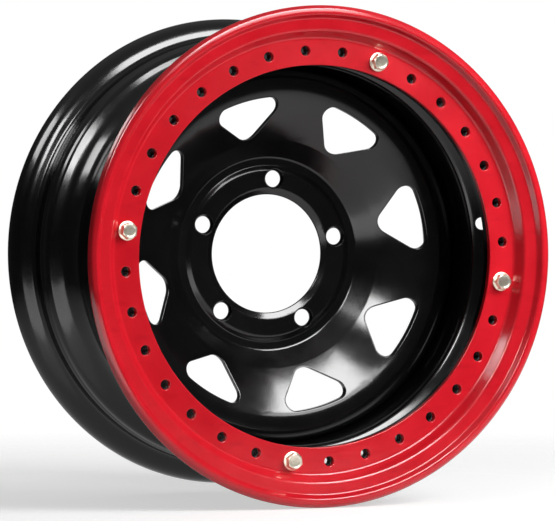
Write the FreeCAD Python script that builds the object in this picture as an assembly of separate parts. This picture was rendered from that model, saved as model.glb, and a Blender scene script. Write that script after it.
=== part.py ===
"""Off-road beadlock wheel: a welded steel barrel and disc with a bolted clamp ring.

The wheel turns about Y. The origin is on the axis, midway between the two bead flange planes.
The clamp ring and the outboard side face -Y, the hub mounting face looks towards +Y, Z is up.
Angles about the axis count from +X towards +Z.
"""
import math
import os

import FreeCAD
import Part

# Barrel, millimetres and degrees; the rear flange leans back from a root in front of its plane
RIM_DIAMETER = 405.6
RIM_WIDTH = 203.2
BARREL_SHEET = 3.5
FLANGE_HEIGHT = 17.5
FLANGE_RADIUS = 19.0
FLANGE_REACH = 14.6
FLANGE_LEAN = 25.0
FLANGE_ROOT = 8.2
FLANGE_ROOT_RADIUS = 7.0
BEAD_TAPER = 5.0
HUMP_OFFSET = 23.6
HUMP_HEIGHT = 1.8
HUMP_HALF_WIDTH = 4.5
REAR_SHELF = 10.5
FRONT_SHELF = 6.4
WELL_DEPTH = 25.3
WELL_SIDE_ANGLE = 60.0
REAR_FOOT_RADIUS = 28.0

# Valve hole, in the middle of the front side of the well
VALVE_HOLE = 11.5
VALVE_ANGLE = 8.75
VALVE_UP_SIDE = 9.0

# Disc
DISC_SHEET = 5.5
WHEEL_OFFSET = -19.0
HUB_BORE = 110.0
BORE_LIP_WIDTH = 6.2
BORE_LIP_DEPTH = 3.4
PAD_RADIUS = 77.6
PAD_BEND = 8.0
GROOVE_DEPTH = 2.4
GROOVE_INNER = 82.4
GROOVE_OUTER = 89.8
GROOVE_BEND = 3.0
CONE_BREAK_RADIUS = 106.0
CONE_INNER_ANGLE = 40.5
CONE_OUTER_ANGLE = 33.4
CONE_BEND = 30.0
ROUND_OVER = 18.0
SKIRT_BEND = 11.3
SKIRT_LENGTH = 30.0

# Lug holes
LUG_COUNT = 5
LUG_CIRCLE = 139.7
LUG_HOLE = 15.5
LUG_SEAT = 19.0
LUG_SEAT_ANGLE = 60.0
LUG_PHASE = 84.9

# Windows
WINDOW_COUNT = 8
WINDOW_PHASE = 14.35
WINDOW_APEX = 105.1
WINDOW_HALF_ANGLE = 48.5
WINDOW_OUTER = 145.5
WINDOW_TIP_RADIUS = 13.0
WINDOW_CORNER_RADIUS = 8.4

# Clamp ring; insets count inwards from the bead seat's radius, the setback from the flange plane
RING_SETBACK = 1.1
RING_SHEET = 5.5
RING_INSET = 29.3
RING_FLAT_INSET = 5.5
RING_STEP_WIDTH = 8.0
RING_STEP = 9.5
RING_BAND_WIDTH = 8.5
RING_BAND_RISE = 2.2
RING_WALL_WIDTH = 7.3
RING_WALL_RISE = 5.2
RING_OVERHANG = 24.6
RING_LIP_RISE = 0.8
RING_LIP_DEPTH = 6.0
RING_LIP_RADIUS = 2.6

# Lock ring
LOCK_INSET = 28.8
LOCK_SHEET = 8.0

# Clamp bolts
BOLT_INSET = 16.1
HOLE_COUNT = 32
HOLE_PHASE = 3.61
CLEARANCE_HOLE = 9.0
HOLE_CHAMFER = 0.5
TAPPED_HOLE = 6.8
THREAD_CLEARANCE = 0.05
BOLT_SHANK = 8.0
BOLT_LENGTH = 18.0
BOLT_HEX = 13.0
BOLT_FLANGE = 17.6
BOLT_FLANGE_RIM = 1.4
BOLT_FLANGE_CONE = 1.6
BOLT_HEAD = 7.9
BOLT_TIP_CHAMFER = 1.0
FITTED_INDICES = (6, 15, 23, 31)

# Gap left between a piece fitted into the barrel and the barrel's inside
PRESS_FIT = 0.05

# Welds
DISC_WELD_COUNT = 8
DISC_WELD_ARC = 24.0
DISC_WELD_LEG = 5.0
RING_WELD_LEG = 4.5

# Sizes that follow from the ones above
ORIGIN = FreeCAD.Vector(0, 0, 0)
AXIS = FreeCAD.Vector(0, -1, 0)
FLANGE_PLANE = RIM_WIDTH / 2
BEAD_RADIUS = RIM_DIAMETER / 2
WELL_OUTSIDE = BEAD_RADIUS - WELL_DEPTH
WELL_INSIDE = WELL_OUTSIDE - BARREL_SHEET
MOUNT_FACE = -WHEEL_OFFSET
PAD_FACE = MOUNT_FACE - DISC_SHEET
RING_FRONT = RING_SETBACK - FLANGE_PLANE
RING_BACK = RING_FRONT + RING_SHEET
LOCK_BACK = RING_BACK + LOCK_SHEET
RING_INNER = BEAD_RADIUS - RING_INSET
RING_FLAT = BEAD_RADIUS - RING_FLAT_INSET
RING_OUTER = BEAD_RADIUS + RING_OVERHANG
LOCK_INNER = BEAD_RADIUS - LOCK_INSET
BOLT_RADIUS = BEAD_RADIUS - BOLT_INSET
SKIRT_RADIUS = WELL_INSIDE - PRESS_FIT
LEAST_RADIUS = 0.4


def tan_deg(angle):
    return math.tan(math.radians(angle))


def sin_deg(angle):
    return math.sin(math.radians(angle))


def cos_deg(angle):
    return math.cos(math.radians(angle))


def place(shape, angle):
    """Copy of a shape made at angle 0, turned to its place about the wheel's axis."""
    copy = shape.copy()
    copy.rotate(ORIGIN, AXIS, angle)
    return copy


def ring_angles(count, phase):
    return [phase + 360.0 * index / count for index in range(count)]


def rounded_edges(points):
    """Edges of a closed outline of (radius, y, corner radius) points, corners as true arcs."""
    count = len(points)
    spots = [FreeCAD.Vector(x, y, 0) for x, y, _ in points]
    sides = [spots[(index + 1) % count] - spots[index] for index in range(count)]
    openings = [math.pi - sides[index - 1].getAngle(sides[index]) for index in range(count)]
    wanted = [point[2] / math.tan(opening / 2) for point, opening in zip(points, openings)]
    corners = []
    for index, here in enumerate(spots):
        setback = wanted[index]
        middle = here
        ahead = FreeCAD.Vector(sides[index]).normalize()
        behind = -FreeCAD.Vector(sides[index - 1]).normalize()
        if setback > 0:
            # Two arcs that would overlap on a side share its length
            before = wanted[index] / (wanted[index] + wanted[index - 1])
            after = wanted[index] / (wanted[index] + wanted[(index + 1) % count])
            setback = min(setback, before * sides[index - 1].Length, after * sides[index].Length)
            half = openings[index] / 2
            fitted = setback * math.tan(half)
            middle = here + (ahead + behind).normalize() * (fitted / math.sin(half) - fitted)
        corners.append((here + behind * setback, middle, here + ahead * setback))
    edges = []
    for index, (start, middle, end) in enumerate(corners):
        if (end - start).Length > 1e-6:
            edges.append(Part.Arc(start, middle, end).toShape())
        next_start = corners[(index + 1) % count][0]
        if (next_start - end).Length > 1e-6:
            edges.append(Part.LineSegment(end, next_start).toShape())
    return edges


def revolve(points):
    """Solid of revolution of a closed (radius, y, corner radius) outline."""
    face = Part.Face(Part.Wire(rounded_edges(points)))
    return face.revolve(ORIGIN, AXIS, 360)


def offset_line(points, distance):
    """The other side of a sheet: an open line moved sideways, left of its run for a plus distance."""
    moved = []
    runs = []
    for (x0, y0, _), (x1, y1, _) in zip(points[:-1], points[1:]):
        length = math.hypot(x1 - x0, y1 - y0)
        runs.append(((x1 - x0) / length, (y1 - y0) / length))
    for index, (x, y, radius) in enumerate(points):
        first = runs[max(index - 1, 0)]
        second = runs[min(index, len(runs) - 1)]
        turn = first[0] * second[1] - first[1] * second[0]
        along = 1 + first[0] * second[0] + first[1] * second[1]
        shift_x = -(first[1] + second[1]) * distance / along
        shift_y = (first[0] + second[0]) * distance / along
        side = math.copysign(1.0, turn) if abs(turn) > 1e-9 else 0.0
        other = max(radius - side * distance, LEAST_RADIUS) if radius > 0 else 0.0
        moved.append((x + shift_x, y + shift_y, other))
    return moved


def sheet(line, thickness):
    """Closed outline of a sheet from the line of one face; a minus thickness lies to its right."""
    return line + offset_line(line, thickness)[::-1]


def bead_seat(y):
    """Outside radius of a tapered bead seat at a distance y from the rim's middle plane."""
    return BEAD_RADIUS - (FLANGE_PLANE - abs(y)) * tan_deg(BEAD_TAPER)


def seat_inside(y):
    """Inside radius of the barrel under a tapered bead seat."""
    return bead_seat(y) - BARREL_SHEET / cos_deg(BEAD_TAPER)


def well_side(sign):
    """Top of the well's side and its foot on the well floor, on the rear (+1) or front (-1)."""
    shelf = REAR_SHELF if sign > 0 else FRONT_SHELF
    top = FLANGE_PLANE - HUMP_OFFSET - shelf
    top_radius = bead_seat(top)
    foot = top - (top_radius - WELL_OUTSIDE) / tan_deg(WELL_SIDE_ANGLE)
    return (top_radius, sign * top), (WELL_OUTSIDE, sign * foot)


def hump(sign):
    """Safety hump that keeps a bead on its seat, as a low ridge."""
    middle = FLANGE_PLANE - HUMP_OFFSET
    outer = middle + HUMP_HALF_WIDTH
    inner = middle - HUMP_HALF_WIDTH
    ridge = [
        (bead_seat(outer), sign * outer, 0),
        (bead_seat(middle) + HUMP_HEIGHT, sign * middle, 0),
        (bead_seat(inner), sign * inner, 0),
    ]
    return ridge if sign > 0 else ridge[::-1]


def barrel_line():
    """Tyre side of the barrel, from the edge of the rear flange to the front end."""
    crest = BEAD_RADIUS + FLANGE_HEIGHT
    edge = FLANGE_PLANE + FLANGE_REACH
    root = FLANGE_PLANE - FLANGE_ROOT
    bend = root + (crest - bead_seat(root)) * tan_deg(FLANGE_LEAN)
    (rear_top, rear_y), (floor, rear_foot) = well_side(1)
    (front_top, front_y), (_, front_foot) = well_side(-1)
    return [
        (crest, edge, 0),
        (crest, bend, FLANGE_RADIUS),
        (bead_seat(root), root, FLANGE_ROOT_RADIUS),
        *hump(1),
        (rear_top, rear_y, 0),
        (floor, rear_foot, REAR_FOOT_RADIUS),
        (floor, front_foot, 0),
        (front_top, front_y, 0),
        *hump(-1),
        (bead_seat(RING_BACK), RING_BACK, 0),
    ]


def valve_cutter():
    """Cylinder through the front side of the well, square to its sheet."""
    _, (floor, foot) = well_side(-1)
    along = FreeCAD.Vector(sin_deg(WELL_SIDE_ANGLE), -cos_deg(WELL_SIDE_ANGLE), 0)
    square = FreeCAD.Vector(cos_deg(WELL_SIDE_ANGLE), sin_deg(WELL_SIDE_ANGLE), 0)
    middle = FreeCAD.Vector(floor, foot, 0) + along * VALVE_UP_SIDE - square * (BARREL_SHEET / 2)
    reach = 2 * BARREL_SHEET
    cutter = Part.makeCylinder(VALVE_HOLE / 2, 2 * reach, middle - square * reach, square)
    return place(cutter, VALVE_ANGLE)


def rim_barrel():
    line = barrel_line()
    outline = sheet(line, -BARREL_SHEET)
    # The front end is cut square to the axis, flush with the lock ring
    outline[len(line)] = (seat_inside(RING_BACK), RING_BACK, 0)
    return revolve(outline).cut(valve_cutter())


def disc_line():
    """Front face of the disc, from the bore out to the rear end of the skirt."""
    groove = PAD_FACE + GROOVE_DEPTH
    break_y = groove - (CONE_BREAK_RADIUS - GROOVE_OUTER) * tan_deg(CONE_INNER_ANGLE)
    tangent = SKIRT_RADIUS - ROUND_OVER * (1 + sin_deg(CONE_OUTER_ANGLE))
    tangent_y = break_y - (tangent - CONE_BREAK_RADIUS) * tan_deg(CONE_OUTER_ANGLE)
    crest = tangent_y - ROUND_OVER * (1 - cos_deg(CONE_OUTER_ANGLE))
    shoulder = tangent + (tangent_y - crest) / tan_deg(CONE_OUTER_ANGLE)
    return [
        (HUB_BORE / 2, PAD_FACE, 0),
        (PAD_RADIUS, PAD_FACE, PAD_BEND),
        (GROOVE_INNER, groove, GROOVE_BEND),
        (GROOVE_OUTER, groove, GROOVE_BEND),
        (CONE_BREAK_RADIUS, break_y, CONE_BEND),
        (shoulder, crest, ROUND_OVER),
        (SKIRT_RADIUS, crest, SKIRT_BEND),
        (SKIRT_RADIUS, crest + ROUND_OVER + SKIRT_LENGTH, 0),
    ]


def window_cutter():
    """Prism of one window: a rounded triangle with its apex to the hub and an arc outside."""
    side = FreeCAD.Vector(cos_deg(WINDOW_HALF_ANGLE), 0, sin_deg(WINDOW_HALF_ANGLE))
    inward = FreeCAD.Vector(sin_deg(WINDOW_HALF_ANGLE), 0, -cos_deg(WINDOW_HALF_ANGLE))
    apex = FreeCAD.Vector(WINDOW_APEX, 0, 0)
    tip_middle = apex + FreeCAD.Vector(WINDOW_TIP_RADIUS / sin_deg(WINDOW_HALF_ANGLE), 0, 0)
    tip = tip_middle - FreeCAD.Vector(WINDOW_TIP_RADIUS, 0, 0)
    tip_end = tip_middle - inward * WINDOW_TIP_RADIUS
    # The corner's centre lies one corner radius inside both the side and the outer arc
    start = apex + inward * WINDOW_CORNER_RADIUS
    reach = WINDOW_OUTER - WINDOW_CORNER_RADIUS
    along = start.dot(side)
    run = -along + math.sqrt(along ** 2 - start.dot(start) + reach ** 2)
    corner = start + side * run
    corner_start = corner - inward * WINDOW_CORNER_RADIUS
    corner_end = corner * (WINDOW_OUTER / reach)
    outward = (corner / reach - inward).normalize()
    corner_middle = corner + outward * WINDOW_CORNER_RADIUS
    top = FreeCAD.Vector(WINDOW_OUTER, 0, 0)

    def flip(point):
        return FreeCAD.Vector(point.x, point.y, -point.z)

    edges = [
        Part.Arc(flip(tip_end), tip, tip_end),
        Part.LineSegment(tip_end, corner_start),
        Part.Arc(corner_start, corner_middle, corner_end),
        Part.Arc(corner_end, top, flip(corner_end)),
        Part.Arc(flip(corner_end), flip(corner_middle), flip(corner_start)),
        Part.LineSegment(flip(corner_start), flip(tip_end)),
    ]
    face = Part.Face(Part.Wire([edge.toShape() for edge in edges]))
    face.translate(FreeCAD.Vector(0, -RIM_WIDTH, 0))
    return face.extrude(FreeCAD.Vector(0, 2 * RIM_WIDTH, 0))


def lug_cutter():
    """One lug hole with its conical nut seat in the front of the pad."""
    centre = FreeCAD.Vector(LUG_CIRCLE / 2, PAD_FACE, 0)
    inboard = FreeCAD.Vector(0, 1, 0)
    hole = Part.makeCylinder(LUG_HOLE / 2, DISC_SHEET, centre, inboard)
    depth = (LUG_SEAT - LUG_HOLE) / 2 / tan_deg(LUG_SEAT_ANGLE / 2)
    seat = Part.makeCone(LUG_SEAT / 2, LUG_HOLE / 2, depth, centre, inboard)
    return hole.fuse(seat)


def wheel_disc():
    outline = sheet(disc_line(), DISC_SHEET)
    # The front edge of the bore slopes in, as a conical lip
    bore = HUB_BORE / 2
    outline[:1] = [(bore, PAD_FACE + BORE_LIP_DEPTH, 0), (bore + BORE_LIP_WIDTH, PAD_FACE, 0)]
    disc = revolve(outline)
    windows = [place(window_cutter(), angle) for angle in ring_angles(WINDOW_COUNT, WINDOW_PHASE)]
    lugs = [place(lug_cutter(), angle) for angle in ring_angles(LUG_COUNT, LUG_PHASE)]
    return disc.cut(windows + lugs)


def clamp_ring_line():
    """Front face of the clamp ring, from its inner edge over the two steps to the lip."""
    band = RING_FLAT + RING_STEP_WIDTH
    wall = band + RING_BAND_WIDTH
    lip = wall + RING_WALL_WIDTH
    step_y = RING_FRONT - RING_STEP
    wall_y = step_y - RING_BAND_RISE
    lip_y = wall_y - RING_WALL_RISE
    return [
        (RING_INNER, RING_FRONT, 0),
        (RING_FLAT, RING_FRONT, 0),
        (band, step_y, 0),
        (wall, wall_y, 0),
        (lip, lip_y, 0),
        (RING_OUTER, lip_y - RING_LIP_RISE, RING_LIP_RADIUS),
    ]


def ring_hole(diameter, front, back):
    """Cylinder on the bolt circle at angle 0, between two planes square to the axis."""
    start = FreeCAD.Vector(BOLT_RADIUS, front, 0)
    return Part.makeCylinder(diameter / 2, back - front, start, FreeCAD.Vector(0, 1, 0))


def clamp_ring():
    front = clamp_ring_line()
    back = offset_line(front, RING_SHEET)
    back[0] = (RING_INNER, RING_BACK, 0)
    lip_y = front[-1][1] + RING_LIP_DEPTH
    # The lip's rear edge is cut square, so the back of the last wall runs up to its plane
    (near_x, near_y, _), (far_x, far_y, _) = back[-3:-1]
    share = (lip_y - near_y) / (far_y - near_y)
    back[-2:] = [(near_x + (far_x - near_x) * share, lip_y, 0)]
    lip_end = (RING_OUTER, lip_y, 0)
    body = revolve(front + [lip_end] + back[::-1])
    hole = ring_hole(CLEARANCE_HOLE, RING_FRONT, RING_BACK)
    mouth = Part.makeCone(
        CLEARANCE_HOLE / 2 + HOLE_CHAMFER,
        CLEARANCE_HOLE / 2,
        HOLE_CHAMFER,
        FreeCAD.Vector(BOLT_RADIUS, RING_FRONT, 0),
        FreeCAD.Vector(0, 1, 0),
    )
    cutter = hole.fuse(mouth)
    return body.cut([place(cutter, angle) for angle in ring_angles(HOLE_COUNT, HOLE_PHASE)])


def lock_ring():
    body = revolve([
        (LOCK_INNER, RING_BACK, 0),
        (seat_inside(RING_BACK) - PRESS_FIT, RING_BACK, 0),
        (seat_inside(LOCK_BACK) - PRESS_FIT, LOCK_BACK, 0),
        (LOCK_INNER, LOCK_BACK, 0),
    ])
    hole = ring_hole(TAPPED_HOLE, RING_BACK, LOCK_BACK)
    return body.cut([place(hole, angle) for angle in ring_angles(HOLE_COUNT, HOLE_PHASE)])


def hex_prism(width, height):
    """Hexagon across flats, standing on the bolt's seat plane at the wheel's axis."""
    corner = width / 2 / cos_deg(30)
    points = [
        FreeCAD.Vector(corner * cos_deg(angle), 0, corner * sin_deg(angle))
        for angle in range(0, 361, 60)
    ]
    return Part.Face(Part.makePolygon(points)).extrude(FreeCAD.Vector(0, -height, 0))


def clamp_bolt():
    """Hex flange bolt at angle 0: head on the clamp ring, thread core in the lock ring."""
    flange = BOLT_FLANGE / 2
    core = TAPPED_HOLE / 2 - THREAD_CLEARANCE
    hex_corner = BOLT_HEX / 2 / cos_deg(30)
    top = BOLT_HEAD
    cone_top = BOLT_FLANGE_RIM + BOLT_FLANGE_CONE
    chamfer = (hex_corner - BOLT_HEX / 2) * tan_deg(30)
    # A turned blank over the head trims the hexagon's top corners
    blank = revolve([
        (0, 0, 0),
        (flange, 0, 0),
        (flange, -top + chamfer, 0),
        (hex_corner, -top + chamfer, 0),
        (BOLT_HEX / 2, -top, 0),
        (0, -top, 0),
    ])
    head = hex_prism(BOLT_HEX, top).common(blank)
    collar = revolve([
        (0, 0, 0),
        (flange, 0, 0),
        (flange, -BOLT_FLANGE_RIM, 0),
        (BOLT_HEX / 2, -cone_top, 0),
        (0, -cone_top, 0),
    ])
    shank = revolve([
        (0, 0, 0),
        (0, BOLT_LENGTH, 0),
        (core - BOLT_TIP_CHAMFER, BOLT_LENGTH, 0),
        (core, BOLT_LENGTH - BOLT_TIP_CHAMFER, 0),
        (core, RING_SHEET, 0),
        (BOLT_SHANK / 2, RING_SHEET, 0),
        (BOLT_SHANK / 2, 0, 0),
    ])
    bolt = head.fuse([collar, shank]).removeSplitter()
    bolt.translate(FreeCAD.Vector(BOLT_RADIUS, RING_FRONT, 0))
    return bolt


def clamp_bolts():
    """The bolts that are fitted, each in its numbered hole."""
    bolt = clamp_bolt()
    pitch = 360.0 / HOLE_COUNT
    return Part.makeCompound([place(bolt, HOLE_PHASE + index * pitch) for index in FITTED_INDICES])


def weld_face(*corners):
    """Three-cornered section of a fillet weld."""
    return Part.Face(Part.makePolygon([*corners, corners[0]]))


def disc_welds():
    """Weld stitches between the rear end of the skirt and the inside of the barrel."""
    skirt_end = disc_line()[-1][1]
    corner = FreeCAD.Vector(SKIRT_RADIUS, skirt_end, 0)
    up = corner + FreeCAD.Vector(0, DISC_WELD_LEG, 0)
    down = corner - FreeCAD.Vector(DISC_WELD_LEG, 0, 0)
    stitch = weld_face(corner, up, down).revolve(ORIGIN, AXIS, DISC_WELD_ARC)
    step = 360.0 / DISC_WELD_COUNT
    first = WINDOW_PHASE + (step - DISC_WELD_ARC) / 2
    return Part.makeCompound([place(stitch, angle) for angle in ring_angles(DISC_WELD_COUNT, first)])


def ring_weld():
    """Fillet weld all round, between the back of the lock ring and the barrel."""
    end = LOCK_BACK + RING_WELD_LEG
    corner = FreeCAD.Vector(seat_inside(LOCK_BACK) - PRESS_FIT, LOCK_BACK, 0)
    up = FreeCAD.Vector(seat_inside(end) - PRESS_FIT, end, 0)
    down = corner - FreeCAD.Vector(RING_WELD_LEG, 0, 0)
    return weld_face(corner, up, down).revolve(ORIGIN, AXIS, 360)


def main():
    os.makedirs("parts", exist_ok=True)
    nodes = {
        "rim_barrel": rim_barrel(),
        "wheel_disc": wheel_disc(),
        "lock_ring": lock_ring(),
        "clamp_ring": clamp_ring(),
        "clamp_bolts": clamp_bolts(),
        "disc_welds": disc_welds(),
        "ring_weld": ring_weld(),
    }
    for name, shape in nodes.items():
        shape.exportStep(f"parts/{name}.step")
        print(f"{name}: {len(shape.Solids)} solids, {shape.Volume / 1000:.1f} cm3, valid {shape.isValid()}")


main()
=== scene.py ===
"""Looks of the off-road beadlock wheel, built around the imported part.

The wheel turns about Y, the clamp ring faces -Y and Z is up.
Sections are written in millimetres as (radius, y) and turned into meshes in metres.
"""

import math

import bmesh
import bpy
import numpy as np
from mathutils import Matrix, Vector


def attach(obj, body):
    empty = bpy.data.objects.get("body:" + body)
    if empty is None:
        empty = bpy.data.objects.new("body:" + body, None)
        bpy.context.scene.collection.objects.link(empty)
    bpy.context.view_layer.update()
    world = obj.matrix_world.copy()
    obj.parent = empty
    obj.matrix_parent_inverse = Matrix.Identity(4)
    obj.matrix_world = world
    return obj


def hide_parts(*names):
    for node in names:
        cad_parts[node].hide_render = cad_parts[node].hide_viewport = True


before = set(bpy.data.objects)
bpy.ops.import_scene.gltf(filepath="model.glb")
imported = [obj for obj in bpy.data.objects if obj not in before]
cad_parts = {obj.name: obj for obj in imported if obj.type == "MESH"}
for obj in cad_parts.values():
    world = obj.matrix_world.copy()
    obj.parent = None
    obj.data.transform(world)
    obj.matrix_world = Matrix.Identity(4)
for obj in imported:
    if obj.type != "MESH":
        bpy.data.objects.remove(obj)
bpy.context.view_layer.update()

MM = 0.001

# Barrel, millimetres and degrees; places are (radius, y)
BARREL_SHEET = 3.5
BARREL_STEPS = 432
REAR_EDGE = 116.2
FLANGE_RADIUS = 220.3
SEAT_RADIUS, SEAT_PLACE = 201.13, 82.5
HUMP_RADIUS, HUMP_PLACE = 202.6, 78.0
FRONT_RADIUS = 202.2
WELL_RADIUS = 177.5
WELL_FOOT = (WELL_RADIUS, -58.51)
WELL_SIDE_ANGLE = 60.0
VALVE_ANGLE = 8.75
VALVE_RADIUS = 5.75
VALVE_UP_SIDE = 9.0
VALVE_EDGE = 0.6

# Disc; the dome's tilt falls off from the foot of the cone to the crown
DISC_SHEET = 5.5
DISC_STEPS = 432
PAD_FACE = 13.5
BORE_RADIUS = 55.0
BORE_LIP_WIDTH = 6.2
BORE_LIP_DEPTH = 3.4
GROOVE_FLOOR = PAD_FACE + 2.5
CONE_FOOT = (106.0, 2.06)
DOME_RADII = (106.0, 128.0, 145.0, 151.0, 160.0)
DOME_TILTS = (37.0, 33.2, 29.5, 14.0, 0.0)
DOME_POINTS = 26
CROWN_RADIUS = 162.5
SKIRT_RADIUS = 173.95
SKIRT_BEND = 11.3
SKIRT_END = 20.49
WINDOW_COUNT = 8
WINDOW_PHASE = 14.35
WINDOW_APEX = 105.1
WINDOW_HALF_ANGLE = 48.5
WINDOW_OUTER = 145.5
WINDOW_TIP_RADIUS = 13.0
WINDOW_CORNER_RADIUS = 8.4
WINDOW_EDGE = 1.0
WINDOW_BACK_EDGE = 0.6
WINDOW_ROWS = (107.3, 149.3, 17)
LUG_COUNT = 5
LUG_PHASE = 84.9
LUG_CIRCLE_RADIUS = 69.85
LUG_RADIUS = 7.75
LUG_ROWS = (56.8, 81.4, 22)
LUG_COLUMNS = 14

# Rings and bolts
RING_FRONT = -100.5
RING_BACK = -95.0
RING_INNER = 173.5
RING_OUTER = 227.35
LIP_BACK = -112.2
RING_STEPS = 512
LOCK_INNER = 174.0
LOCK_BACK = -87.0
LOCK_STEPS = 384
HOLE_COUNT = 32
HOLE_PHASE = 3.61
CLEARANCE_RADIUS = 4.5
TAPPED_RADIUS = 3.4
BOLT_RADIUS = 186.7
FITTED_BOLTS = (6, 15, 23, 31)
BOLT_TURNS = (0.35, 0.9, 0.1, 0.6)
HEX_WIDTH = 13.0
THREAD_PITCH = 1.25

# Weld beads: the corner they fill and the ends of their legs
DISC_WELD = ((173.9, 20.5), (173.9, 25.45), (168.95, 20.5))
DISC_WELD_COUNT = 8
DISC_WELD_SPAN = 24.0
RING_WELD = ((197.9, -87.0), (197.55, -82.55), (193.5, -87.0))

# Camera and room, metres and degrees
CAMERA_AZIMUTH = -23.08
CAMERA_ELEVATION = 1.42
CAMERA_DISTANCE = 4.235
CAMERA_TARGET = (0.0, 0.0135, 0.0)
BACKDROP_WAY = (0.392, 0.92, 0.0)
FLOOR_LEVEL = -0.2278
FLOOR_RADIUS = 1.2


def polar(radius, y, angle):
    """Point at an angle in degrees about the wheel's axis, counted from +X towards +Z."""
    turn = math.radians(angle)
    return (radius * math.cos(turn), y, radius * math.sin(turn))


def around(centre, radius, y, turn):
    """Point on a circle about a line along Y through a centre; turn is in radians."""
    return (centre[0] + radius * math.cos(turn), y, centre[2] + radius * math.sin(turn))


def towards(azimuth, elevation):
    """Direction from the wheel; azimuth counts in degrees from the front towards +X."""
    a, e = math.radians(azimuth), math.radians(elevation)
    return Vector((math.sin(a) * math.cos(e), -math.cos(a) * math.cos(e), math.sin(e)))


def corner_arc(here, way_in, way_out, setback, step):
    """Points of the arc that rounds one corner, from a setback before it to as far after it."""
    cross = way_in[0] * way_out[1] - way_in[1] * way_out[0]
    turn = math.atan2(cross, float(way_in @ way_out))
    left = np.array((-way_in[1], way_in[0])) * math.copysign(1.0, turn)
    begin = here - way_in * setback
    centre = begin + left * setback / math.tan(abs(turn) / 2)
    arm = begin - centre
    pieces = max(3, math.ceil(math.degrees(abs(turn)) / step))
    arc = []
    for part in range(pieces + 1):
        c, s = math.cos(turn * part / pieces), math.sin(turn * part / pieces)
        arc.append(centre + np.array((c * arm[0] - s * arm[1], s * arm[0] + c * arm[1])))
    return arc


def section(corners, step=10.0, support=0.4):
    """Points along a closed outline of (radius, y, corner radius), with each corner as an arc.

    Two arcs that would overlap on a side share its length. A support point next to each arc
    keeps the shading of the flat stretches flat.
    """
    spots = np.array([corner[:2] for corner in corners], float)
    sides = np.roll(spots, -1, axis=0) - spots
    lengths = np.linalg.norm(sides, axis=1)
    ways = sides / lengths[:, None]
    cosines = np.clip(np.sum(np.roll(ways, 1, axis=0) * ways, axis=1), -1, 1)
    wanted = np.array([corner[2] for corner in corners]) * np.tan(np.arccos(cosines) / 2)
    runs = []
    for k, here in enumerate(spots):
        if wanted[k] < 1e-3:
            runs.append([here])
            continue
        before = lengths[k - 1] * wanted[k] / (wanted[k] + wanted[k - 1])
        after = lengths[k] * wanted[k] / (wanted[k] + wanted[(k + 1) % len(spots)])
        runs.append(corner_arc(here, ways[k - 1], ways[k], min(wanted[k], before, after), step))
    points = []
    for index, run in enumerate(runs):
        points.extend(run)
        follower = runs[(index + 1) % len(runs)]
        gap = np.linalg.norm(follower[0] - run[-1])
        if gap > 3 * support:
            way = (follower[0] - run[-1]) / gap
            if len(run) > 1:
                points.append(run[-1] + way * support)
            if len(follower) > 1:
                points.append(follower[0] - way * support)
    return np.array(points)


def offset_line(corners, distance):
    """The other face of a sheet: an open line moved sideways, left of its run for a plus."""
    runs = []
    for (x0, y0, _), (x1, y1, _) in zip(corners[:-1], corners[1:]):
        length = math.hypot(x1 - x0, y1 - y0)
        runs.append(((x1 - x0) / length, (y1 - y0) / length))
    moved = []
    for index, (x, y, radius) in enumerate(corners):
        first = runs[max(index - 1, 0)]
        second = runs[min(index, len(runs) - 1)]
        turn = first[0] * second[1] - first[1] * second[0]
        along = 1 + first[0] * second[0] + first[1] * second[1]
        side = math.copysign(1.0, turn) if abs(turn) > 1e-9 else 0.0
        other = max(radius - side * distance, 0.4) if radius > 0 else 0.0
        shift_x = -(first[1] + second[1]) * distance / along
        shift_y = (first[0] + second[0]) * distance / along
        moved.append((x + shift_x, y + shift_y, other))
    return moved


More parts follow.
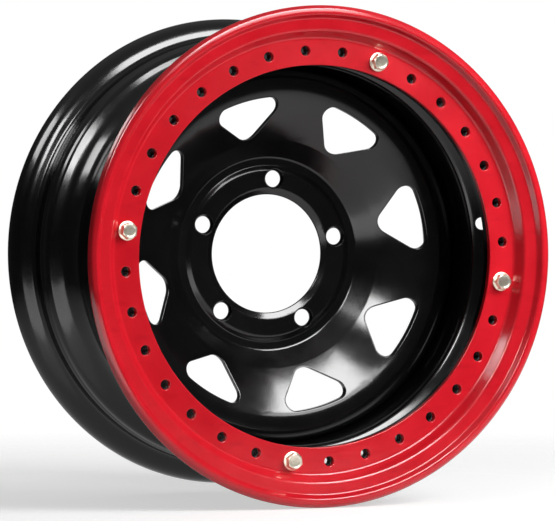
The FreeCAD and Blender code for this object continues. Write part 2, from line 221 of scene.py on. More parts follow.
class Turned:
    """A closed section turned about the wheel's axis, with holes let into it."""

    def __init__(self, outline, steps, phase=0.0):
        self.outline = np.array(outline, float)
        self.lines = self.outline.tolist()
        self.steps = steps
        self.phase = phase
        self.taken = set()
        self.vertices = []
        self.index = {}
        self.crossings = {}
        self.faces = []

    def vertex(self, point):
        key = (round(point[0], 4), round(point[1], 4), round(point[2], 4))
        if key not in self.index:
            self.index[key] = len(self.vertices)
            self.vertices.append(point)
        return self.index[key]

    def grid(self, i, j):
        radius, y = self.lines[i % len(self.lines)]
        return polar(radius, y, self.phase + 360.0 * (j % self.steps) / self.steps)

    def crossing(self, i, j):
        """Number of the vertex at a grid point."""
        key = (i % len(self.lines), j % self.steps)
        if key not in self.crossings:
            self.crossings[key] = self.vertex(self.grid(*key))
        return self.crossings[key]

    def column(self, angle):
        """Number of the grid's column nearest to an angle."""
        return round((angle - self.phase) / 360.0 * self.steps)

    def find(self, radius, y):
        """Number of the outline's point nearest to (radius, y)."""
        return int(np.argmin(np.hypot(self.outline[:, 0] - radius, self.outline[:, 1] - y)))

    def quad(self, corners):
        distinct = list(dict.fromkeys(corners))
        if len(distinct) > 2:
            self.faces.append(distinct)

    def border(self, rows, columns):
        """Grid points round a patch, from its inner edge, in the same order on either face."""
        (i_from, i_to), (j_from, j_to) = rows, columns
        way = 1 if i_to > i_from else -1
        cells = [(i_from, j) for j in range(j_from, j_to)]
        cells += [(i, j_to) for i in range(i_from, i_to, way)]
        cells += [(i_to, j) for j in range(j_to, j_from, -1)]
        cells += [(i, j_from) for i in range(i_to, i_from, -way)]
        for i in range(min(rows), max(rows)):
            self.taken.update((i, j % self.steps) for j in range(j_from, j_to))
        return [self.grid(i, j) for i, j in cells]

    def level(self, rows):
        """Function that gives y for a radius along one stretch of the outline."""
        stretch = self.outline[min(rows):max(rows) + 1]
        order = np.argsort(stretch[:, 0])
        radii, heights = stretch[order, 0], stretch[order, 1]
        return lambda point: float(np.interp(math.hypot(point[0], point[2]), radii, heights))

    def strips(self, rings):
        """Quads between neighbouring closed rings of equal length."""
        numbered = [[self.vertex(point) for point in ring] for ring in rings]
        for first, second in zip(numbered[:-1], numbered[1:]):
            for k in range(len(first)):
                n = (k + 1) % len(first)
                self.quad((first[k], first[n], second[n], second[k]))

    def hole(self, front, back, columns, outline_at, levels):
        """One hole along Y, from a patch of the front face through to one of the back face.

        outline_at gives the hole's outline widened by a distance, one point for each border point.
        levels lists (widening, depth, face) along the hole's edges and wall.
        """
        near, far = self.border(front, columns), self.border(back, columns)
        levels_of = {"front": self.level(front), "back": self.level(back)}
        walls = []
        for widening, depth, face in levels:
            ring = outline_at(near, widening)
            walls.append([(p[0], levels_of[face](p) + depth, p[2]) for p in ring])
        shares = (0.3, 0.55, 0.75, 0.9)
        opening = [between(near, walls[0], share, levels_of["front"]) for share in shares]
        closing = [between(far, walls[-1], share, levels_of["back"]) for share in shares[::-1]]
        self.strips([near, *opening, *walls, *closing, far])

    def mesh(self, name):
        for i in range(len(self.lines)):
            for j in range(self.steps):
                if (i, j) not in self.taken:
                    cells = ((i, j), (i + 1, j), (i + 1, j + 1), (i, j + 1))
                    self.quad([self.crossing(*cell) for cell in cells])
        return make_object(name, self.vertices, self.faces)


def between(border, ring, share, level):
    """Ring a share of the way from a patch border to a hole, laid on the turned face."""
    points = []
    for far, near in zip(border, ring):
        x = far[0] + (near[0] - far[0]) * share
        z = far[2] + (near[2] - far[2]) * share
        points.append((x, level((x, 0.0, z)), z))
    return points


def make_object(name, vertices, faces):
    """Smooth mesh object from millimetre points, with its normals turned outwards."""
    mesh = bpy.data.meshes.new(name)
    mesh.from_pydata([tuple(MM * c for c in point) for point in vertices], [], faces)
    work = bmesh.new()
    work.from_mesh(mesh)
    bmesh.ops.recalc_face_normals(work, faces=work.faces)
    for face in work.faces:
        face.smooth = True
    work.to_mesh(mesh)
    work.free()
    mesh.update()
    item = bpy.data.objects.new(name, mesh)
    bpy.context.scene.collection.objects.link(item)
    return item


def round_outline(centre, radius):
    """Outline function of a round hole along Y."""
    def outline_at(border, widening):
        ring = []
        for x, _, z in border:
            turn = math.atan2(z - centre[2], x - centre[0])
            ring.append(around(centre, radius + widening, 0.0, turn))
        return ring
    return outline_at


def edge_levels(front_round, back_round):
    """Levels of a hole with rounded edges: quarter rounds on both faces and a straight wall."""
    front, back = [], []
    for part in range(6):
        turn = math.radians(18 * part)
        aside, deep = 1 - math.sin(turn), 1 - math.cos(turn)
        front.append((front_round * aside, front_round * deep, "front"))
        back.append((back_round * aside, -back_round * deep, "back"))
    return [
        (front_round + 0.35, 0.0, "front"),
        *front,
        (0.0, front_round + 0.35, "front"),
        (0.0, -back_round - 0.35, "back"),
        *back[::-1],
        (back_round + 0.35, 0.0, "back"),
    ]


def barrel():
    """Rolled barrel: rear flange, bead seats with humps, well, front end and valve hole."""
    slope = math.radians(WELL_SIDE_ANGLE)
    along = (math.sin(slope), -math.cos(slope))
    patch = []
    for share in range(7):
        run = 2.0 + 14.0 * share / 6
        patch.append((WELL_FOOT[0] + along[0] * run, WELL_FOOT[1] + along[1] * run, 0))
    tyre_side = [
        (FLANGE_RADIUS, REAR_EDGE, 1.2),
        (FLANGE_RADIUS, 101.9, 19.0),
        (202.08, 93.4, 7.0),
        (SEAT_RADIUS, SEAT_PLACE, 9.0),
        (HUMP_RADIUS, HUMP_PLACE, 7.0),
        (200.34, 73.5, 9.0),
        (199.82, 67.5, 11.0),
        (WELL_RADIUS, 54.62, 28.0),
        *[(WELL_RADIUS, y, 0) for y in (30.0, 0.0, -30.0)],
        (*WELL_FOOT, 4.5),
        *patch,
        (200.18, -71.6, 5.0),
        (200.4, -73.5, 5.0),
        (HUMP_RADIUS, -HUMP_PLACE, 7.0),
        (SEAT_RADIUS, -SEAT_PLACE, 9.0),
        (FRONT_RADIUS, RING_BACK, 0.5),
    ]
    inside = offset_line(tyre_side, -BARREL_SHEET)
    inside[0] = (*inside[0][:2], 1.2)
    inside[-1] = (FRONT_RADIUS - BARREL_SHEET, RING_BACK, 0.5)
    body = Turned(section(tyre_side + inside[::-1]), BARREL_STEPS)
    valve_hole(body, patch[0], patch[-1], slope)
    return body.mesh("barrel")


def valve_hole(body, low, high, slope):
    """Round hole square to the side of the well, with a rolled edge on both faces."""
    along = np.array((math.sin(slope), -math.cos(slope)))
    square = np.array((math.cos(slope), math.sin(slope)))
    foot = np.array(WELL_FOOT)
    rows = (body.find(*low[:2]), body.find(*high[:2]))
    under = [np.array(p[:2]) - square * BARREL_SHEET for p in (low, high)]
    back_rows = (body.find(*under[0]), body.find(*under[1]))
    middle = body.column(VALVE_ANGLE)
    columns = (middle - 5, middle + 5)
    near, far = body.border(rows, columns), body.border(back_rows, columns)

    def ring(radius, depth):
        points = []
        for x, y, z in near:
            r = math.hypot(x, z)
            run = float((np.array((r, y)) - foot) @ along) - VALVE_UP_SIDE
            side = (math.degrees(math.atan2(z, x)) - VALVE_ANGLE) * math.radians(1) * r
            turn = math.atan2(side, run)
            up, across = radius * math.cos(turn), radius * math.sin(turn)
            spot = foot + along * (VALVE_UP_SIDE + up) - square * depth
            points.append(polar(spot[0], spot[1], VALVE_ANGLE + math.degrees(across / spot[0])))
        return points

    front, back = [], []
    for part in range(5):
        turn = math.radians(22.5 * part)
        reach = VALVE_RADIUS + VALVE_EDGE * (1 - math.sin(turn))
        deep = VALVE_EDGE * (1 - math.cos(turn))
        front.append(ring(reach, deep))
        back.append(ring(reach, BARREL_SHEET - deep))
    start, stop = ring(VALVE_RADIUS + 1.0, 0.0), ring(VALVE_RADIUS + 1.0, BARREL_SHEET)
    body.strips([near, start, *front, *back[::-1], stop, far])


def window_shape():
    """Outline of a window as (radial, sideways) points, with its apex towards the axis."""
    half = math.radians(WINDOW_HALF_ANGLE)
    side = np.array((math.cos(half), math.sin(half)))
    inward = np.array((math.sin(half), -math.cos(half)))
    apex = np.array((WINDOW_APEX, 0.0))
    tip = apex + np.array((WINDOW_TIP_RADIUS / math.sin(half), 0.0))
    start = apex + inward * WINDOW_CORNER_RADIUS
    reach = WINDOW_OUTER - WINDOW_CORNER_RADIUS
    along = float(start @ side)
    corner = start + side * (-along + math.sqrt(along ** 2 - float(start @ start) + reach ** 2))
    points = []
    for turn in np.linspace(math.pi, math.pi / 2 + half, 60):
        points.append(tip + WINDOW_TIP_RADIUS * np.array((math.cos(turn), math.sin(turn))))
    begin, end = math.pi / 2 + half, math.atan2(corner[1], corner[0])
    for share in np.linspace(0, 1, 60)[1:-1]:
        points.append(points[59] + (corner - inward * WINDOW_CORNER_RADIUS - points[59]) * share)
    for turn in np.linspace(begin, end, 80):
        points.append(corner + WINDOW_CORNER_RADIUS * np.array((math.cos(turn), math.sin(turn))))
    for turn in np.linspace(end, 0, 60)[1:]:
        points.append(WINDOW_OUTER * np.array((math.cos(turn), math.sin(turn))))
    upper = np.array(points)
    return np.concatenate((upper, upper[-2:0:-1] * np.array((1, -1))))


def window_outline(angle, whole):
    """Outline function of one window, turned to its angle about the axis."""
    middle = np.array((128.0, 0.0))
    ahead = np.roll(whole, -1, axis=0) - np.roll(whole, 1, axis=0)
    outward = np.stack((ahead[:, 1], -ahead[:, 0]), axis=1)
    outward = outward / np.linalg.norm(outward, axis=1)[:, None]
    outward = outward * np.sign(np.sum(outward * (whole - middle), axis=1).mean())
    turn = math.radians(angle)
    c, s = math.cos(turn), math.sin(turn)

    def outline_at(border, widening):
        wide = whole + outward * widening - middle
        bearing = np.arctan2(wide[:, 1], wide[:, 0])
        order = np.argsort(bearing)
        bearing, wide = bearing[order], wide[order]
        ring = []
        for x, _, z in border:
            local = np.array((c * x + s * z, -s * x + c * z)) - middle
            at = math.atan2(local[1], local[0])
            u = float(np.interp(at, bearing, wide[:, 0], period=2 * math.pi) + middle[0])
            v = float(np.interp(at, bearing, wide[:, 1], period=2 * math.pi))
            ring.append((c * u - s * v, 0.0, s * u + c * v))
        return ring
    return outline_at


def resample(outline, radii):
    """Lays a stretch of both faces of a sheet on the same radii, so that holes can join them.

    Gives the new outline and the rows of the patch on the front and on the back face.
    """
    last = int(np.argmax(outline[:, 0]))
    low, high = radii[0] - 0.3, radii[-1] + 0.3
    front, back = outline[:last], outline[last:]
    steps = []
    for face, way in ((front, 1), (back, -1)):
        order = np.argsort(face[:, 0], kind="stable")
        heights = np.interp(radii, face[order, 0], face[order, 1])
        steps.append(np.stack((radii, heights), axis=1)[::way])
    inner = outline[:, 0] < low
    lead, tail = front[inner[:last]], back[inner[last:]]
    rest = outline[outline[:, 0] > high]
    whole = np.concatenate((lead, steps[0], rest, steps[1], tail))
    first = len(lead)
    second = first + len(radii) + len(rest)
    count = len(radii) - 1
    return whole, (first, first + count), (second + count, second)


def dome():
    """Points of the disc's front from the foot of the cone to its crown."""
    radius, y = CONE_FOOT
    points = []
    for reach in np.linspace(radius + 1.5, CROWN_RADIUS, DOME_POINTS):
        tilt = np.interp((reach + radius) / 2, DOME_RADII, DOME_TILTS)
        y -= (reach - radius) * math.tan(math.radians(tilt))
        points.append((float(reach), float(y), 0))
        radius = reach
    return points


def disc():
    """Pressed disc: bore lip, pad, groove, cone with windows, round-over and skirt."""
    rise = dome()
    front = [
        (BORE_RADIUS, PAD_FACE, 0),
        (77.3, PAD_FACE, 6.0),
        (82.2, GROOVE_FLOOR, 2.5),
        (89.4, GROOVE_FLOOR, 4.5),
        (*CONE_FOOT, 20.0),
        *rise,
        (SKIRT_RADIUS, rise[-1][1], SKIRT_BEND),
        (SKIRT_RADIUS, SKIRT_END, 0.8),
    ]
    back = offset_line(front, DISC_SHEET)
    back[0] = (BORE_RADIUS, PAD_FACE + DISC_SHEET, 0.6)
    back[-1] = (*back[-1][:2], 0.8)
    lip = [
        (BORE_RADIUS, PAD_FACE + BORE_LIP_DEPTH, 1.2),
        (BORE_RADIUS + BORE_LIP_WIDTH, PAD_FACE, 2.0),
    ]
    outline = section(lip + front[1:] + back[::-1])
    outline, *rows = resample(outline, np.linspace(*WINDOW_ROWS))
    ends = outline[np.ravel(rows)]
    outline, *pad_rows = resample(outline, np.linspace(*LUG_ROWS))
    body = Turned(outline, DISC_STEPS, WINDOW_PHASE)
    places = [body.find(*end) for end in ends]
    rows, back_rows = places[:2], places[2:]
    windows(body, rows, back_rows)
    lug_holes(body, pad_rows)
    return body.mesh("disc")


def windows(body, rows, back_rows):
    """The eight windows of the disc, with rounded edges."""
    whole = window_shape()
    half = DISC_STEPS // WINDOW_COUNT // 2
    levels = edge_levels(WINDOW_EDGE, WINDOW_BACK_EDGE)
    for k in range(WINDOW_COUNT):
        angle = WINDOW_PHASE + 360.0 * k / WINDOW_COUNT
        middle = body.column(angle)
        columns = (middle - half, middle + half)
        body.hole(rows, back_rows, columns, window_outline(angle, whole), levels)


def lug_holes(body, pad_rows):
    """The five lug holes, with conical seats on the front."""
    seat = [
        (2.2, 0.0, "front"),
        (1.85, 0.0, "front"),
        (1.7, 0.07, "front"),
        (1.55, 0.3, "front"),
        (0.15, 2.75, "front"),
        (0.02, 3.0, "front"),
        (0.0, 3.3, "front"),
        (0.0, -0.7, "back"),
        (0.05, -0.25, "back"),
        (0.3, 0.0, "back"),
        (0.7, 0.0, "back"),
    ]
    for k in range(LUG_COUNT):
        angle = LUG_PHASE + 360.0 * k / LUG_COUNT
        middle = body.column(angle)
        centre = polar(LUG_CIRCLE_RADIUS, 0.0, angle)
        columns = (middle - LUG_COLUMNS, middle + LUG_COLUMNS)
        body.hole(*pad_rows, columns, round_outline(centre, LUG_RADIUS), seat)


def ring_holes(body, stations, front_y, back_y, radius, levels):
    """The 32 holes of a ring, each in the middle of its own patch."""
    rows = (body.find(stations[0], front_y), body.find(stations[-1], front_y))
    back_rows = (body.find(stations[0], back_y), body.find(stations[-1], back_y))
    half = body.steps // HOLE_COUNT // 2
    for k in range(HOLE_COUNT):
        angle = HOLE_PHASE + 360.0 * k / HOLE_COUNT
        middle = body.column(angle)
        outline_at = round_outline(polar(BOLT_RADIUS, 0.0, angle), radius)
        body.hole(rows, back_rows, (middle - half, middle + half), outline_at, levels)


def clamp_ring():
    """Stepped clamp ring with its 32 clearance holes and rolled lip."""
    stations = [177.0, 180.0, 183.0, 186.7, 190.4, 193.0, 196.0]
    face = [(r, RING_FRONT, 0) for r in stations]
    rear = [(r, RING_BACK, 0) for r in stations]
    outline = section([
        (RING_INNER, RING_FRONT, 0.9),
        *face,
        (198.2, RING_FRONT, 4.0),
        (204.6, -110.0, 5.0),
        (215.6, -112.6, 3.0),
        (219.7, -118.0, 3.0),
        (224.8, -116.6, 5.0),
        (RING_OUTER, -113.3, 1.2),
        (RING_OUTER, LIP_BACK, 0.5),
        (223.3, LIP_BACK, 1.0),
        (216.0, -107.1, 2.0),
        (208.2, -104.9, 3.0),
        (199.85, RING_BACK, 2.5),
        *rear[::-1],
        (RING_INNER, RING_BACK, 0.6),
    ])
    body = Turned(outline, RING_STEPS, HOLE_PHASE)
    levels = [
        (1.0, 0.0, "front"),
        (0.62, 0.0, "front"),
        (0.47, 0.05, "front"),
        (0.06, 0.45, "front"),
        (0.0, 0.62, "front"),
        (0.0, 1.1, "front"),
        (0.0, -0.9, "back"),
        (0.03, -0.2, "back"),
        (0.2, 0.0, "back"),
        (0.6, 0.0, "back"),
    ]
    ring_holes(body, stations, RING_FRONT, RING_BACK, CLEARANCE_RADIUS, levels)
    return body.mesh("outer_clamp_ring")


def lock_ring():
    """Flat ring inside the barrel's front end, with 32 tapped holes."""
    stations = [177.0, 180.0, 183.0, 186.7, 190.4, 193.0, 195.5]
    outline = section([
        (LOCK_INNER, RING_BACK, 0.8),
        *[(r, RING_BACK, 0) for r in stations],
        (198.65, RING_BACK, 0.5),
        (197.95, LOCK_BACK, 0.5),
        *[(r, LOCK_BACK, 0) for r in stations[::-1]],
        (LOCK_INNER, LOCK_BACK, 0.8),
    ])
    body = Turned(outline, LOCK_STEPS, HOLE_PHASE)
    levels = [
        (1.1, 0.0, "front"),
        (0.72, 0.0, "front"),
        (0.6, 0.06, "front"),
        (0.06, 0.6, "front"),
        (0.0, 0.8, "front"),
        (0.0, -0.8, "back"),
        (0.06, -0.6, "back"),
        (0.6, -0.06, "back"),
        (0.72, 0.0, "back"),
        (1.1, 0.0, "back"),
    ]
    ring_holes(body, stations, RING_BACK, LOCK_BACK, TAPPED_RADIUS, levels)
    return body.mesh("inner_bead_ring")


class Tube:
    """Mesh gathered from closed rings of points, one strip after another."""

    def __init__(self):
        self.vertices = []
        self.faces = []

    def loft(self, rings, joined=False):
        """Skin over rings of equal length, capped at its ends or joined into a loop."""
        base = len(self.vertices)
        size = len(rings[0])
        for ring in rings:
            self.vertices.extend(ring)
        count = len(rings)
        for i in range(count if joined else count - 1):
            for k in range(size):
                n = (k + 1) % size
                a, b = base + i * size, base + (i + 1) % count * size
                self.faces.append((a + k, a + n, b + n, b + k))
        if not joined:
            self.faces.append(tuple(base + k for k in range(size))[::-1])
            self.faces.append(tuple(base + (count - 1) * size + k for k in range(size)))


def thread(tube, centre, y_from, y_to, root, crest, steps=28):
    """One helical thread ridge about a line along Y, with its crest inside or outside the root."""
    turns = abs(y_to - y_from) / THREAD_PITCH
    count = int(turns * steps)
    rings = []
    for k in range(count + 1):
        share = k / count
        turn = 2 * math.pi * turns * share
        y = y_from + (y_to - y_from) * share
        fade = min(1.0, 4 * turns * share, 4 * turns * (1 - share))
        top = root + (crest - root) * max(fade, 0.05)
        ring = []
        for radius, rise in ((root, -0.55), (top, -0.1), (top, 0.1), (root, 0.55)):
            ring.append(around(centre, radius, y + rise * THREAD_PITCH * 0.86, turn))
        rings.append(ring)
    tube.loft(rings)


def hole_threads():
    """Threads of the empty tapped holes."""
    tube = Tube()
    for k in range(HOLE_COUNT):
        if k in FITTED_BOLTS:
            continue
        centre = polar(BOLT_RADIUS, 0.0, HOLE_PHASE + 360.0 * k / HOLE_COUNT)
        thread(tube, centre, RING_BACK + 1.3, LOCK_BACK - 1.3, 3.43, 3.02)
    return make_object("tapped_threads", tube.vertices, tube.faces)


def hex_reach(turn, width, rounding):
    """Reach of a hexagon across flats at an angle, with its corners eased."""
    away = (turn + math.pi / 6) % (math.pi / 3) - math.pi / 6
    flat = width / 2 / math.cos(away)
    corner = width / 2 / math.cos(math.pi / 6)
    return min(flat, corner - rounding * (abs(away) / (math.pi / 6)) ** 6)


def flange_bolts():
    """The four hex flange bolts, each turned differently in its hole."""
    tube = Tube()
    steps = 96
    turned = [math.pi / 6 + 2 * math.pi * k / steps for k in range(steps)]
    for number, index in enumerate(FITTED_BOLTS):
        centre = polar(BOLT_RADIUS, 0.0, HOLE_PHASE + 360.0 * index / HOLE_COUNT)
        twist = BOLT_TURNS[number]

        def ring(reach, rise):
            """Ring about the bolt's axis; rise counts from the seat towards the front."""
            points = []
            for turn in turned:
                r = reach(turn) if callable(reach) else reach
                up = rise(turn) if callable(rise) else rise
                points.append(around(centre, r, RING_FRONT - up, turn + twist))
            return points

        def flats(turn):
            return hex_reach(turn, HEX_WIDTH, 0.25)

        def shoulder(turn):
            return 7.9 - (flats(turn) - 6.3) * math.tan(math.radians(30))

        rings = [
            ring(0.6, -17.9),
            ring(2.3, -17.9),
            ring(3.2, -17.0),
            ring(3.35, -16.7),
            ring(3.35, -5.7),
            ring(3.7, -5.5),
            ring(4.0, -5.2),
            ring(4.0, -0.3),
            ring(4.3, 0.02),
            ring(8.3, 0.02),
            ring(8.68, 0.15),
            ring(8.8, 0.5),
            ring(8.8, 0.95),
            ring(8.66, 1.25),
            ring(8.3, 1.45),
            ring(7.75, 1.75),
            ring(lambda turn: max(flats(turn) + 0.25, 7.0), 2.2),
            ring(lambda turn: flats(turn) + 0.1, 2.75),
            ring(flats, 3.1),
            ring(flats, 3.6),
            ring(flats, lambda turn: shoulder(turn) - 0.4),
            ring(lambda turn: flats(turn) - 0.03, lambda turn: shoulder(turn) - 0.08),
            ring(lambda turn: flats(turn) - 0.2, lambda turn: shoulder(turn) + 0.08),
            ring(6.35, 7.8),
            ring(6.1, 7.9),
            ring(5.6, 7.9),
            ring(5.3, 7.82),
            ring(5.0, 7.6),
            ring(4.6, 7.5),
            ring(2.0, 7.45),
            ring(0.6, 7.45),
        ]
        tube.loft(rings)
        thread(tube, centre, LOCK_BACK + 0.8, LOCK_BACK + 3.2, 3.3, 3.95)
    return make_object("flange_bolts", tube.vertices, tube.faces)


def bead_ring(angle, corner, up, down, size):
    """Section of a fillet weld bead at an angle, its face bulging and scaled by its size."""
    corner, up, down = (np.array(p, float) for p in (corner, up, down))
    legs = [corner + (up - corner) * size, corner + (down - corner) * size]
    chord = legs[1] - legs[0]
    bulge = np.array((-chord[1], chord[0]))
    bulge = bulge * np.sign(bulge @ ((legs[0] + legs[1]) / 2 - corner)) * 0.16
    points = [corner, legs[0]]
    for share in (0.12, 0.3, 0.5, 0.7, 0.88):
        points.append(legs[0] + chord * share + bulge * math.sin(math.pi * share))
    points.append(legs[1])
    return [polar(p[0], p[1], angle) for p in points]


def ripple(run):
    """Size of a weld bead along its run in millimetres, with scalloped ripples."""
    scallop = (run / 2.3) % 1.0
    drift = 0.03 * math.sin(run * 0.21) + 0.02 * math.sin(run * 0.57 + 1.0)
    return 0.86 + 0.07 * math.sqrt(1 - (2 * scallop - 1) ** 2) + drift


def disc_welds():
    """Weld stitches between the rear end of the skirt and the barrel."""
    tube = Tube()
    for k in range(DISC_WELD_COUNT):
        start = WINDOW_PHASE + 10.5 + 360.0 / DISC_WELD_COUNT * k
        rings = []
        for step in range(161):
            share = step / 160
            angle = start + DISC_WELD_SPAN * share
            fade = min(1.0, 0.25 + 14 * share, 0.25 + 14 * (1 - share))
            size = ripple(math.radians(angle) * 172.0) * math.sqrt(fade)
            rings.append(bead_ring(angle, *DISC_WELD, size))
        tube.loft(rings)
    return make_object("disc_weld_beads", tube.vertices, tube.faces)


def ring_weld():
    """Weld bead all round between the back of the lock ring and the barrel."""
    tube = Tube()
    rings = []
    for step in range(1440):
        angle = 360.0 * step / 1440
        size = ripple(math.radians(angle) * 195.0)
        rings.append(bead_ring(angle, *RING_WELD, size))
    tube.loft(rings, joined=True)
    return make_object("ring_weld_bead", tube.vertices, tube.faces)


class Nodes:
    """Short way to make and join the shader nodes of one material."""

    def __init__(self, name):
        self.material = bpy.data.materials.new(name)
        self.material.use_nodes = True
        self.tree = self.material.node_tree
        self.surface = self.tree.nodes["Principled BSDF"]
        self.space = self.add("ShaderNodeTexCoord").outputs["Object"]

    def add(self, kind, **settings):
        node = self.tree.nodes.new(kind)
        for key, value in settings.items():
            setattr(node, key, value)
        return node

    def link(self, source, target):
        self.tree.links.new(source, target)

    def noise(self, scale, detail=3.0, rough=0.55, stretch=None):
        """Noise over the object's own space; scale counts features per metre."""
        node = self.add("ShaderNodeTexNoise")
        node.inputs["Scale"].default_value = scale
        node.inputs["Detail"].default_value = detail
        node.inputs["Roughness"].default_value = rough
        source = self.space
        if stretch:
            mapping = self.add("ShaderNodeMapping")
            mapping.inputs["Scale"].default_value = stretch
            self.link(self.space, mapping.inputs["Vector"])
            source = mapping.outputs["Vector"]
        self.link(source, node.inputs["Vector"])
        return node.outputs["Fac"]

    def ramp(self, source, stops):
        """Colour ramp with (position, colour) stops."""
        node = self.add("ShaderNodeValToRGB")
        elements = node.color_ramp.elements
        while len(elements) < len(stops):
            elements.new(0.5)
        for element, (position, colour) in zip(elements, stops):
            element.position = position
            element.color = (*colour, 1.0)
        self.link(source, node.inputs["Fac"])
        return node.outputs["Color"]

    def spread(self, source, low, high, at=(0.3, 0.7)):
        """Value between low and high, from a source between two positions."""
        node = self.add("ShaderNodeMapRange")
        node.inputs["From Min"].default_value = at[0]
        node.inputs["From Max"].default_value = at[1]
        node.inputs["To Min"].default_value = low
        node.inputs["To Max"].default_value = high
        self.link(source, node.inputs["Value"])
        return node.outputs["Result"]

    def mix(self, factor, first, second):
        """Colour mix; second may be a colour or an output."""
        node = self.add("ShaderNodeMix", data_type="RGBA")
        self.link(factor, node.inputs["Factor"])
        self.link(first, node.inputs[6])
        if isinstance(second, tuple):
            node.inputs[7].default_value = (*second, 1.0)
        else:
            self.link(second, node.inputs[7])
        return node.outputs[2]

    def math(self, operation, first, second):
        node = self.add("ShaderNodeMath", operation=operation, use_clamp=True)
        for socket, value in zip(node.inputs, (first, second)):
            if isinstance(value, float):
                socket.default_value = value
            else:
                self.link(value, socket)
        return node.outputs[0]

    def edges(self, reach):
        """Near 1 along rounded edges, from the gap between the bevelled and the true normal."""
        bevel = self.add("ShaderNodeBevel", samples=6)
        bevel.inputs["Radius"].default_value = reach
        normal = self.add("ShaderNodeNewGeometry").outputs["Normal"]
        dot = self.add("ShaderNodeVectorMath", operation="DOT_PRODUCT")
        self.link(bevel.outputs["Normal"], dot.inputs[0])
        self.link(normal, dot.inputs[1])
        return self.spread(dot.outputs["Value"], 1.0, 0.0, (0.9, 0.995))

    def bump(self, source, depth, strength=1.0, under=None):
        node = self.add("ShaderNodeBump")
        node.inputs["Strength"].default_value = strength
        node.inputs["Distance"].default_value = depth
        self.link(source, node.inputs["Height"])
        if under is not None:
            self.link(under, node.inputs["Normal"])
        return node.outputs["Normal"]


def black_paint():
    """Gloss black powder coat: faint orange peel, uneven gloss, a little dust and a painted
    highlight along rounded edges.
    """
    n = Nodes("black_powder_coat")
    patches = n.noise(22.0, 4.0)
    base = n.ramp(patches, [(0.3, (0.0032, 0.0032, 0.0034)), (0.7, (0.0052, 0.0052, 0.0055))])
    specks = n.spread(n.noise(2400.0, 1.0), 0.0, 0.5, (0.74, 0.8))
    base = n.mix(specks, base, (0.018, 0.018, 0.019))
    # Painted highlight: the colour is lightened in patches along rounded edges.
    painted_edge_highlight = n.math("MULTIPLY", n.edges(0.0008), n.spread(n.noise(160.0), 0.0, 0.45, (0.45, 0.75)))
    base = n.mix(painted_edge_highlight, base, (0.022, 0.022, 0.023))
    n.link(base, n.surface.inputs["Base Color"])
    n.link(n.spread(n.noise(48.0, 5.0), 0.12, 0.18), n.surface.inputs["Roughness"])
    peel = n.bump(n.noise(420.0, 2.0), 0.00004, 0.35)
    n.link(n.bump(n.noise(3200.0, 1.0), 0.000008, 0.35, peel), n.surface.inputs["Normal"])
    n.surface.inputs["Specular IOR Level"].default_value = 0.5
    return n.material


def red_paint():
    """Satin red powder coat: soft mottling, fine peel, dull smears and a thin painted highlight
    along rounded edges.
    """
    n = Nodes("red_powder_coat")
    patches = n.noise(26.0, 4.0)
    base = n.ramp(patches, [(0.3, (0.60, 0.008, 0.018)), (0.7, (0.70, 0.014, 0.026))])
    smears = n.spread(n.noise(30.0, 5.0, stretch=(1.0, 1.0, 3.0)), 0.0, 0.35, (0.56, 0.74))
    base = n.mix(smears, base, (0.42, 0.004, 0.012))
    # Painted highlight: the colour is lightened in patches along rounded edges.
    painted_edge_highlight = n.math("MULTIPLY", n.edges(0.0008), n.spread(n.noise(140.0), 0.0, 0.3, (0.45, 0.75)))
    base = n.mix(painted_edge_highlight, base, (0.78, 0.10, 0.10))
    n.link(base, n.surface.inputs["Base Color"])
    n.link(n.spread(n.noise(60.0, 5.0), 0.11, 0.17), n.surface.inputs["Roughness"])
    peel = n.bump(n.noise(480.0, 2.0), 0.00005, 0.4)
    n.link(n.bump(n.noise(3600.0, 1.0), 0.00001, 0.35, peel), n.surface.inputs["Normal"])
    n.surface.inputs["Specular IOR Level"].default_value = 0.5
    return n.material


def plated_steel():
    """Bright zinc plate: pale metal with turning marks, light stain and a painted highlight along
    rounded edges.
    """
    n = Nodes("zinc_plate")
    stain = n.noise(500.0, 4.0)
    base = n.ramp(stain, [(0.3, (0.76, 0.68, 0.52)), (0.7, (0.95, 0.90, 0.77))])
    # Painted highlight: the colour is lightened in patches along rounded edges.
    painted_edge_highlight = n.math("MULTIPLY", n.edges(0.0004), n.spread(n.noise(900.0), 0.2, 0.8, (0.4, 0.7)))
    base = n.mix(painted_edge_highlight, base, (0.93, 0.92, 0.90))
    n.link(base, n.surface.inputs["Base Color"])
    n.surface.inputs["Metallic"].default_value = 1.0
    n.link(n.spread(n.noise(1200.0, 4.0), 0.3, 0.44), n.surface.inputs["Roughness"])
    marks = n.bump(n.noise(5000.0, 2.0, stretch=(1.0, 6.0, 1.0)), 0.00002, 0.3)
    n.link(marks, n.surface.inputs["Normal"])
    return n.material


def dress():
    """Makes each piece, gives it its paint and lets it stand for its node."""
    black, red, zinc = black_paint(), red_paint(), plated_steel()
    made = [
        (barrel(), "rim_barrel", black, "black_paint"),
        (disc(), "wheel_disc", black, "black_paint"),
        (lock_ring(), "lock_ring", black, "black_paint"),
        (clamp_ring(), "clamp_ring", red, "red_paint"),
        (flange_bolts(), "clamp_bolts", zinc, "plated_steel"),
        (disc_welds(), "disc_welds", black, "black_paint"),
        (ring_weld(), "ring_weld", black, "black_paint"),
        (hole_threads(), None, black, "black_paint"),
    ]
    for item, node, material, slot in made:
        item.data.materials.append(material)
        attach(item, "root")
        if node:
            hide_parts(node)


def soft_box(name, azimuth, elevation, distance, size, power, gloss=True):
    """Rectangular lamp aimed at the wheel's middle.

    A gloss box is seen in reflections only, any other box lights the surfaces only.
    """
    lamp = bpy.data.lights.new(name, "AREA")
    lamp.shape = "RECTANGLE"
    lamp.size, lamp.size_y = size
    lamp.energy = power
    item = bpy.data.objects.new(name, lamp)
    way = towards(azimuth, elevation)
    item.location = way * distance
    item.rotation_mode = "QUATERNION"
    item.rotation_quaternion = way.to_track_quat("Z", "Y")
    item.visible_camera = False
    item.visible_diffuse = not gloss
    item.visible_glossy = gloss
    bpy.context.scene.collection.objects.link(item)


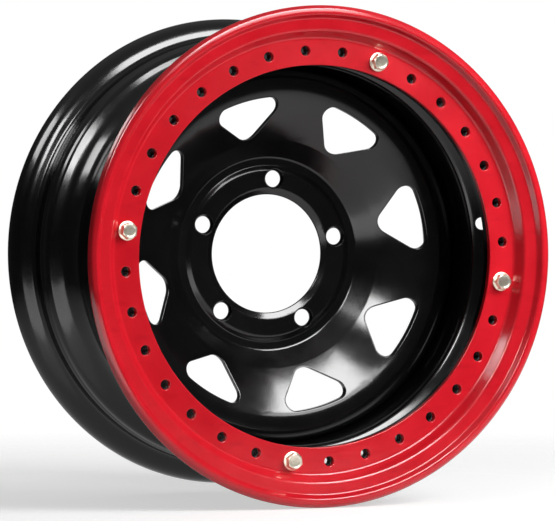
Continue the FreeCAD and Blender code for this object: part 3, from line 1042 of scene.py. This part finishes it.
def lights():
    """Boxes that make the highlights, and a fill that lights the paint."""
    soft_box("key_box", 15.0, 51.0, 2.4, (1.6, 0.74), 75.0)
    soft_box("key_skirt", 12.0, 36.0, 2.4, (1.6, 0.46), 18.0)
    soft_box("left_box", -96.0, 39.0, 2.4, (1.2, 0.66), 30.0)
    soft_box("small_box", -40.0, 31.0, 2.4, (0.42, 0.7), 21.0)
    soft_box("low_box", -50.0, -30.0, 0.5, (0.5, 0.34), 1.1)
    soft_box("fill_box", 35.0, 25.0, 1.4, (0.9, 0.9), 23.0, gloss=False)


def studio():
    """Dim room with a pale ceiling, and a white backdrop behind the wheel.

    The camera sees white all round; glossy and clear surfaces see it where the backdrop is.
    """
    world = bpy.data.worlds.new("studio")
    bpy.context.scene.world = world
    world.use_nodes = True
    tree = world.node_tree
    tree.nodes.clear()
    link = tree.links.new

    def add(kind, **settings):
        node = tree.nodes.new(kind)
        for key, value in settings.items():
            setattr(node, key, value)
        return node

    def spread(source, stops, levels):
        node = add("ShaderNodeMapRange", interpolation_type="SMOOTHSTEP")
        for name, value in zip(("From Min", "From Max", "To Min", "To Max"), (*stops, *levels)):
            node.inputs[name].default_value = value
        link(source, node.inputs["Value"])
        return node.outputs["Result"]

    def join(operation, first, second):
        node = add("ShaderNodeMath", operation=operation)
        link(first, node.inputs[0])
        link(second, node.inputs[1])
        return node.outputs[0]

    path = add("ShaderNodeLightPath").outputs
    way = add("ShaderNodeTexCoord").outputs["Generated"]
    split = add("ShaderNodeSeparateXYZ")
    link(way, split.inputs["Vector"])
    ahead = add("ShaderNodeVectorMath", operation="DOT_PRODUCT")
    ahead.inputs[1].default_value = BACKDROP_WAY
    link(way, ahead.inputs[0])
    backdrop = spread(ahead.outputs["Value"], (0.9, 0.97), (0.0, 1.0))
    clear = join("MAXIMUM", path["Is Glossy Ray"], path["Is Transmission Ray"])
    seen = join("MAXIMUM", path["Is Camera Ray"], join("MULTIPLY", clear, backdrop))
    room = add("ShaderNodeBackground")
    room.inputs["Color"].default_value = (1.0, 1.0, 1.0, 1.0)
    link(spread(split.outputs["Z"], (0.3, 0.95), (0.05, 0.3)), room.inputs["Strength"])
    white = add("ShaderNodeBackground")
    white.inputs["Color"].default_value = (1.0, 1.0, 1.0, 1.0)
    white.inputs["Strength"].default_value = 1.0
    mix = add("ShaderNodeMixShader")
    link(seen, mix.inputs["Fac"])
    link(room.outputs["Background"], mix.inputs[1])
    link(white.outputs["Background"], mix.inputs[2])
    out = add("ShaderNodeOutputWorld")
    link(mix.outputs["Shader"], out.inputs["Surface"])


def floor():
    """Pale floor under the lip, which keeps the wheel's shadow and thins out into the white."""
    bpy.ops.mesh.primitive_circle_add(
        vertices=128, radius=FLOOR_RADIUS, fill_type="NGON", location=(0, 0, FLOOR_LEVEL)
    )
    item = bpy.context.object
    item.name = "floor"
    n = Nodes("pale_floor")
    n.surface.inputs["Base Color"].default_value = (0.6, 0.6, 0.6, 1.0)
    n.surface.inputs["Roughness"].default_value = 0.9
    n.surface.inputs["Specular IOR Level"].default_value = 0.0
    away = n.add("ShaderNodeVectorMath", operation="LENGTH")
    n.link(n.space, away.inputs[0])
    n.link(n.spread(away.outputs["Value"], 1.0, 0.0, (0.3, 1.0)), n.surface.inputs["Alpha"])
    path = n.add("ShaderNodeLightPath").outputs
    seen = n.math("MAXIMUM", path["Is Camera Ray"], path["Is Glossy Ray"])
    seen = n.math("MAXIMUM", seen, path["Is Transmission Ray"])
    n.surface.inputs["Emission Color"].default_value = (1.0, 1.0, 1.0, 1.0)
    n.link(n.math("MULTIPLY", seen, 0.55), n.surface.inputs["Emission Strength"])
    item.data.materials.append(n.material)


def camera():
    """Camera at the viewing angle of the photograph."""
    lens = bpy.data.cameras.new("camera")
    lens.lens = 295.46
    lens.sensor_width = 36.0
    lens.shift_x = 0.0168
    lens.shift_y = -0.0124
    item = bpy.data.objects.new("camera", lens)
    way = towards(CAMERA_AZIMUTH, CAMERA_ELEVATION)
    item.location = Vector(CAMERA_TARGET) + way * CAMERA_DISTANCE
    item.rotation_mode = "QUATERNION"
    item.rotation_quaternion = way.to_track_quat("Z", "Y")
    bpy.context.scene.collection.objects.link(item)
    bpy.context.scene.camera = item


bpy.context.scene.view_settings.view_transform = "Standard"
dress()
camera()
lights()
studio()
floor()
